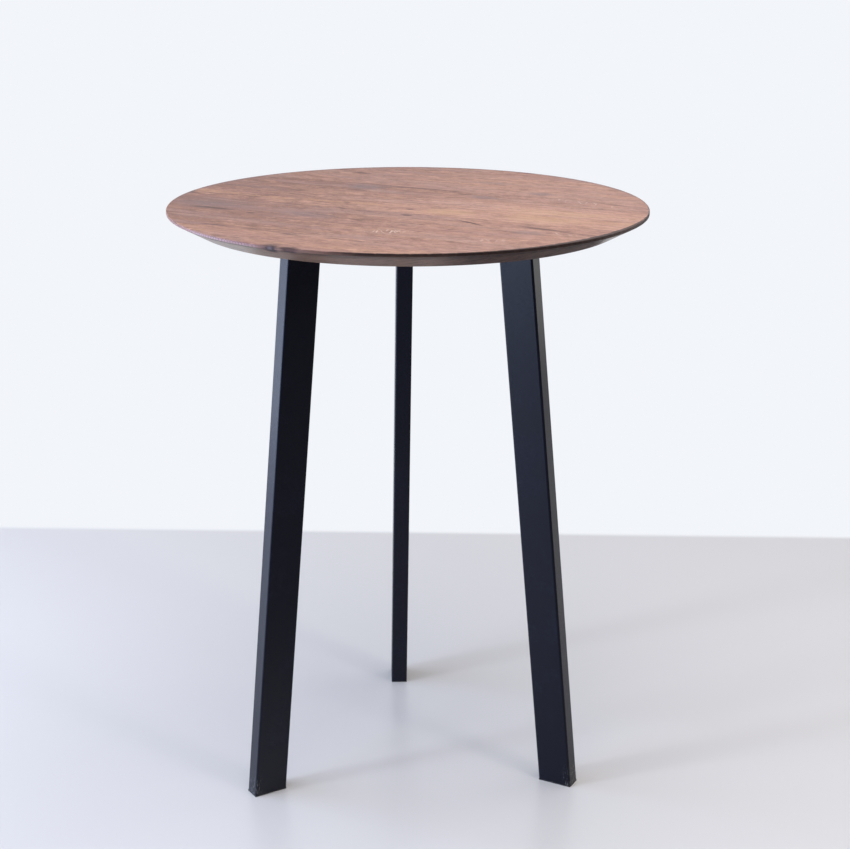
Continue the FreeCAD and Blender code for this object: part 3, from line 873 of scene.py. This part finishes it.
@dataclass
class SteelLeg:
    """One splayed leg: tube, mounting plate, weld, screws and foot cap.

    Args:
        name: Which leg.
        turn: Its direction from +X, in degrees.
    """

    name: str
    turn: float
    tube_depth: float = 60 * MM
    tube_width: float = 30 * MM
    tube_corner: float = 3.5 * MM
    plate_bottom: float = 967 * MM
    plate_length: float = 132 * MM
    plate_width: float = 86 * MM
    screw_inset: float = 14 * MM
    foot_radius: float = 295 * MM
    splay: float = 5.5
    ripple_pitch: float = 2.1 * MM
    ripple_radius: float = 3.4 * MM
    head_width: float = 13 * MM
    head_height: float = 5.5 * MM
    shank_radius: float = 4 * MM
    screw_length: float = 25 * MM
    screw_point: float = 6 * MM

    @property
    def head_reach(self) -> float:
        """How far the middle of the mounting plate lies from the table's middle."""
        return self.foot_radius - self.plate_bottom * math.tan(math.radians(self.splay))

    def place(self, level: float) -> Matrix:
        """From the mounting plate's middle, at a level, to the table's frame."""
        turn = Matrix.Rotation(math.radians(self.turn), 4, "Z")
        return turn @ Matrix.Translation((self.head_reach, 0.0, level))

    def weld(self, coat: bpy.types.Material) -> bpy.types.Object:
        """The rippled bead that runs round the tube's head.

        Args:
            coat: The finish over it.

        Returns:
            The piece.
        """
        made = TreeBuilder(f"weld_bead_{self.name}")
        sides = {
            "Width": made.size("Tube depth", self.tube_depth),
            "Height": made.size("Tube width", self.tube_width),
        }
        outline = made.node("GeometryNodeCurvePrimitiveQuadrilateral", {"mode": "RECTANGLE"}, sides)
        corner = made.size("Tube corner", self.tube_corner)
        fillet = {"Curve": outline.outputs[0], "Radius": corner, "Count": 8, "Limit Radius": True}
        rounded = made.node("GeometryNodeFilletCurve", {"mode": "POLY"}, fillet)
        steps = {"Curve": rounded.outputs[0], "Length": made.size("Ripple pitch", self.ripple_pitch)}
        stepped = made.node("GeometryNodeResampleCurve", {"mode": "LENGTH"}, steps)
        unequal = {"Min": 0.88, "Max": 1.0, "Seed": int(self.turn)}
        wobble = made.node("FunctionNodeRandomValue", {"data_type": "FLOAT"}, unequal)
        ball = {"Segments": 14, "Rings": 8, "Radius": made.size("Ripple radius", self.ripple_radius)}
        drop = made.node("GeometryNodeMeshUVSphere", {}, ball)
        places = {"Points": stepped.outputs[0], "Instance": drop.outputs[0], "Scale": wobble.outputs[1]}
        beads = made.node("GeometryNodeInstanceOnPoints", {}, places)
        piece = made.build(beads.outputs[0], coat, f"weld_bead_{self.name}")
        piece.data.transform(self.place(self.plate_bottom))
        return piece

    def screw_mesh(self) -> bpy.types.Mesh:
        """One hexagon head wood screw, head down, with its seat at the origin.

        Returns:
            The mesh, whose head has the scalloped chamfer of a turned hexagon.
        """
        mesh = bpy.data.meshes.new("wood_screw")
        shape = bmesh.new()
        steps = 48
        flat = self.head_width / 2
        crown = flat * 0.94
        chamfer_slope = math.tan(math.radians(30))
        thread_root = self.shank_radius * 0.78

        def ring(radii: Sequence[float], levels: Sequence[float]) -> list[bmesh.types.BMVert]:
            """A ring of points, one for each step round the axis."""
            made = []
            for index, (radius, level) in enumerate(zip(radii, levels)):
                angle = index * math.tau / len(radii)
                made.append(shape.verts.new((radius * math.cos(angle), radius * math.sin(angle), level)))
            return made

        def bridge(lower: list[bmesh.types.BMVert], upper: list[bmesh.types.BMVert]) -> None:
            """Faces between two rings of the same count."""
            for index in range(len(lower)):
                following = (index + 1) % len(lower)
                shape.faces.new((lower[index], lower[following], upper[following], upper[index]))

        sector = math.tau / 6
        angles = [index * math.tau / steps for index in range(steps)]
        hexagon = [flat / math.cos(angle % sector - sector / 2) for angle in angles]
        rows = [
            ring([crown] * steps, [-self.head_height] * steps),
            ring(hexagon, [(reach - crown) * chamfer_slope - self.head_height for reach in hexagon]),
            ring(hexagon, [0.0] * steps),
            ring([self.shank_radius] * steps, [0.0] * steps),
        ]
        pitch = 3 * MM
        turns = int((self.screw_length - self.screw_point) / pitch)
        for index in range(turns):
            level = (index + 0.5) * pitch
            rows.append(ring([thread_root] * steps, [level] * steps))
            rows.append(ring([self.shank_radius] * steps, [level + pitch / 2] * steps))
        rows.append(ring([self.shank_radius * 0.1] * steps, [self.screw_length] * steps))
        for lower, upper in zip(rows, rows[1:]):
            bridge(lower, upper)
        shape.faces.new(list(reversed(rows[0])))
        shape.faces.new(rows[-1])
        bmesh.ops.recalc_face_normals(shape, faces=shape.faces)
        shape.to_mesh(mesh)
        shape.free()
        return mesh

    def screws(self, plating: bpy.types.Material) -> bpy.types.Object:
        """The four screws at the plate's corners.

        Args:
            plating: Their finish.

        Returns:
            The piece.
        """
        pattern = add_object(f"screw_pattern_{self.name}", self.screw_mesh())
        made = TreeBuilder(f"screw_places_{self.name}")
        grid = {
            "Size X": made.size("Spacing outwards", self.plate_length - 2 * self.screw_inset),
            "Size Y": made.size("Spacing across", self.plate_width - 2 * self.screw_inset),
            "Vertices X": 2,
            "Vertices Y": 2,
        }
        corners = made.node("GeometryNodeMeshGrid", {}, grid)
        source = made.node("GeometryNodeObjectInfo", {}, {"Object": pattern})
        turns = {"Min": (0.0, 0.0, 0.0), "Max": (0.0, 0.0, math.tau / 6), "Seed": int(self.turn)}
        spin = made.node("FunctionNodeRandomValue", {"data_type": "FLOAT_VECTOR"}, turns)
        heads = source.outputs["Geometry"]
        places = {"Points": corners.outputs[0], "Instance": heads, "Rotation": spin.outputs[0]}
        set_screws = made.node("GeometryNodeInstanceOnPoints", {}, places)
        piece = made.build(set_screws.outputs[0], plating, f"wood_screws_{self.name}")
        bpy.data.objects.remove(pattern)
        piece.data.transform(self.place(self.plate_bottom))
        return piece

    def build(self, finishes: dict[str, bpy.types.Material]) -> None:
        """Dresses the leg's CAD nodes and sets its detailed weld and screws over theirs."""
        dress(f"leg_tube_{self.name}", finishes["tube"])
        dress(f"leg_plate_{self.name}", finishes["coat"])
        dress(f"foot_cap_{self.name}", finishes["plastic"])
        for piece, node, slot in (
            (self.weld(finishes["coat"]), f"leg_weld_{self.name}", "black_powder_coat"),
            (self.screws(finishes["zinc"]), f"leg_screws_{self.name}", "zinc_plated_steel"),
        ):
            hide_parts(node)
            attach(piece, "root")
            log.info("%s stands for %s, %d faces", piece.name, node, len(piece.data.polygons))


@dataclass
class Studio:
    """Plain floor, soft lights and the camera.

    Args:
        camera_place: Where the camera stands.
        heading: Where it looks, from +Y towards +X, in degrees.
        pitch: How far it looks down, in degrees.
        roll: How far it leans over to the left, in degrees.
        focal_pixels: Its focal length, in pixels of the picture.
        floor_end: Where the wall's foot crosses the middle line.
        floor_skew: How much the wall comes nearer for each metre to the right.
        floor_fade: From and to where the floor turns white all round, from the table's middle.
    """

    camera_place: Place = (-0.0810, -2.9043, 1.5219)
    heading: float = 2.173
    pitch: float = 17.312
    roll: float = 0.181
    focal_pixels: float = 1756.95
    picture_width: float = 850.0
    sensor_width: float = 36.0
    floor_reach: float = 12.0
    floor_end: float = 1.081
    floor_skew: float = 0.063
    floor_fade: tuple[float, float] = (1.6, 2.4)
    floor_colour: Colour = paint(215, 212, 212)
    floor_painted_shade: Colour = paint(206, 203, 203)
    white: Colour = (0.931, 0.955, 1.0)
    white_strength: float = 0.956
    dark_strength: float = 0.08
    unlit_share: float = 0.62

    def camera(self) -> None:
        """Sets up the camera of the photograph."""
        data = bpy.data.cameras.new("camera")
        data.sensor_width = self.sensor_width
        data.lens = self.focal_pixels * self.sensor_width / self.picture_width
        data.clip_end = 100.0
        camera = add_object("camera", data)
        aim = Matrix.Rotation(math.radians(-self.heading), 4, "Z")
        tilt = Matrix.Rotation(math.radians(90 - self.pitch), 4, "X")
        lean = Matrix.Rotation(math.radians(self.roll), 4, "Z")
        camera.matrix_world = Matrix.Translation(self.camera_place) @ aim @ tilt @ lean
        bpy.context.scene.camera = camera
        bpy.context.scene.view_settings.view_transform = "Standard"

    def floor(self) -> None:
        """Lays a pale, slightly glossy floor, a little greyer on the near left with painted shade.

        The camera sees it turn white at the wall's foot and all round, further out. In reflections alone it
        falls dark in front, on the right, as an unlit part of the room would.
        """
        mesh = bpy.data.meshes.new("floor")
        reach = self.floor_reach
        corners = [(-reach, -reach, 0.0), (reach, -reach, 0.0), (reach, reach, 0.0), (-reach, reach, 0.0)]
        mesh.from_pydata(corners, [], [(0, 1, 2, 3)])
        material, graph, shader = new_material("studio_floor", self.floor_colour)
        place = graph.object_place()
        cloud = graph.noise(place, detail=3.0, roughness=0.6, scale=2.2)
        rightwards, backwards, _ = graph.parts(place)
        # Painted shade: the floor is greyed on the near left.
        painted_shade = rightwards.rise(-0.20, -0.75) * backwards.rise(0.6, -0.3)
        colour = graph.blend(painted_shade, self.floor_colour, self.floor_painted_shade)
        graph.feed(shader, {"Base Color": colour, "Roughness": 0.30 + (cloud - 0.5) * 0.08})
        wards = backwards + rightwards * self.floor_skew
        beyond = wards.rise(self.floor_end, self.floor_end + 0.03)
        outside = rightwards.hypot(backwards).rise(*self.floor_fade)
        unlit = (rightwards * 0.5 - backwards * 0.87).rise(-0.1, 0.9)
        rays = graph.node("ShaderNodeLightPath")
        mirrored = graph.value(rays, "Is Glossy Ray")
        camera_ray = graph.value(rays, "Is Camera Ray")
        away = (beyond * rightwards.rise(2.8, 1.4) * mirrored).most(beyond.most(outside) * camera_ray)
        output = next(node for node in graph.tree.nodes if node.type == "OUTPUT_MATERIAL")
        surface = shader.outputs[0]
        dim = unlit * mirrored * self.unlit_share
        for share, strength in ((away, self.white_strength), (dim, self.dark_strength)):
            glow = graph.node("ShaderNodeEmission", {}, {"Color": self.white, "Strength": strength})
            mixed = graph.node("ShaderNodeMixShader", {}, {0: share, 1: surface, 2: glow.outputs[0]})
            surface = mixed.outputs[0]
        graph.feed(output, {"Surface": surface})
        floor = new_piece("floor", mesh, material)

    def lamp(
        self, name: str, place: Place, aim: Place, size: tuple[float, float], watts: float, colour: Colour
    ) -> None:
        """Hangs one soft box.

        Args:
            name: The lamp's name.
            place: Where it hangs.
            aim: What it points at.
            size: Its width and height.
            watts: Its power.
            colour: Its light.
        """
        data = bpy.data.lights.new(name, "AREA")
        data.shape = "RECTANGLE"
        data.size, data.size_y = size
        data.energy = watts
        data.color = colour
        lamp = add_object(name, data)
        lamp.location = place
        lamp.visible_camera = False
        lamp.rotation_euler = (Vector(aim) - Vector(place)).to_track_quat("-Z", "Y").to_euler()

    def lights(self) -> None:
        """Window light from the left, soft light from above, a weak fill, and two boxes for the shadows."""
        self.lamp("window", (-2.9, -0.6, 1.05), (0.0, -0.6, 1.05), (4.2, 2.1), 150.0, (0.57, 0.70, 1.0))
        self.lamp("overhead", (0.3, -0.7, 3.6), (0.0, 0.0, 0.0), (3.6, 3.6), 94.0, (1.0, 0.975, 0.94))
        self.lamp("left_box", (-2.55, -1.05, 1.7), (0.0, 0.0, 0.3), (0.38, 0.5), 21.5, (0.80, 0.89, 1.0))
        self.lamp("front_box", (2.4, -2.3, 2.0), (0.0, 0.0, 0.3), (0.6, 0.6), 19.0, (1.0, 0.97, 0.95))
        self.lamp("right_fill", (3.2, 1.2, 1.1), (0.0, 0.0, 0.7), (1.6, 1.8), 14.0, (1.0, 0.96, 0.93))

    def surroundings(self) -> None:
        """White behind the table, and a dim room behind the camera."""
        world = bpy.data.worlds.new("studio")
        bpy.context.scene.world = world
        world.use_nodes = True
        world.node_tree.nodes.clear()
        graph = Graph(world.node_tree)
        _, backwards, upwards = graph.parts(graph.node("ShaderNodeTexCoord").outputs["Generated"])
        behind_table = backwards.rise(0.0, 0.6)
        rays = graph.node("ShaderNodeLightPath")
        camera_ray = graph.value(rays, "Is Camera Ray")
        glossy_ray = graph.value(rays, "Is Glossy Ray")
        shown = camera_ray.most(glossy_ray * behind_table)
        room = 0.030 + behind_table * 0.26 + upwards.rise(-0.1, 0.8) * 0.24
        level = room * (1.0 - shown) + shown * self.white_strength
        sky = graph.node("ShaderNodeBackground", {}, {"Color": self.white, "Strength": level})
        graph.node("ShaderNodeOutputWorld", {}, {"Surface": sky.outputs[0]})

    def build(self) -> None:
        """Sets up everything round the table."""
        self.camera()
        self.floor()
        self.lights()
        self.surroundings()


def main() -> None:
    """Builds the studio, then the top and the three legs."""
    logging.basicConfig(level=logging.INFO, format="%(name)s: %(message)s")
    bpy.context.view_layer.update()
    Studio().build()
    PlankTop().build()
    finishes = {
        "tube": PowderCoat().make("powder_coat_tube", worn_below=0.05),
        "coat": PowderCoat().make("powder_coat"),
        "plastic": MouldedPlastic().make("moulded_plastic"),
        "zinc": ZincPlate().make("zinc_plate"),
    }
    for name, turn in (("rear", 90.0), ("front_left", 210.0), ("front_right", 330.0)):
        SteelLeg(name, turn).build(finishes)


if __name__ == "__main__":
    main()
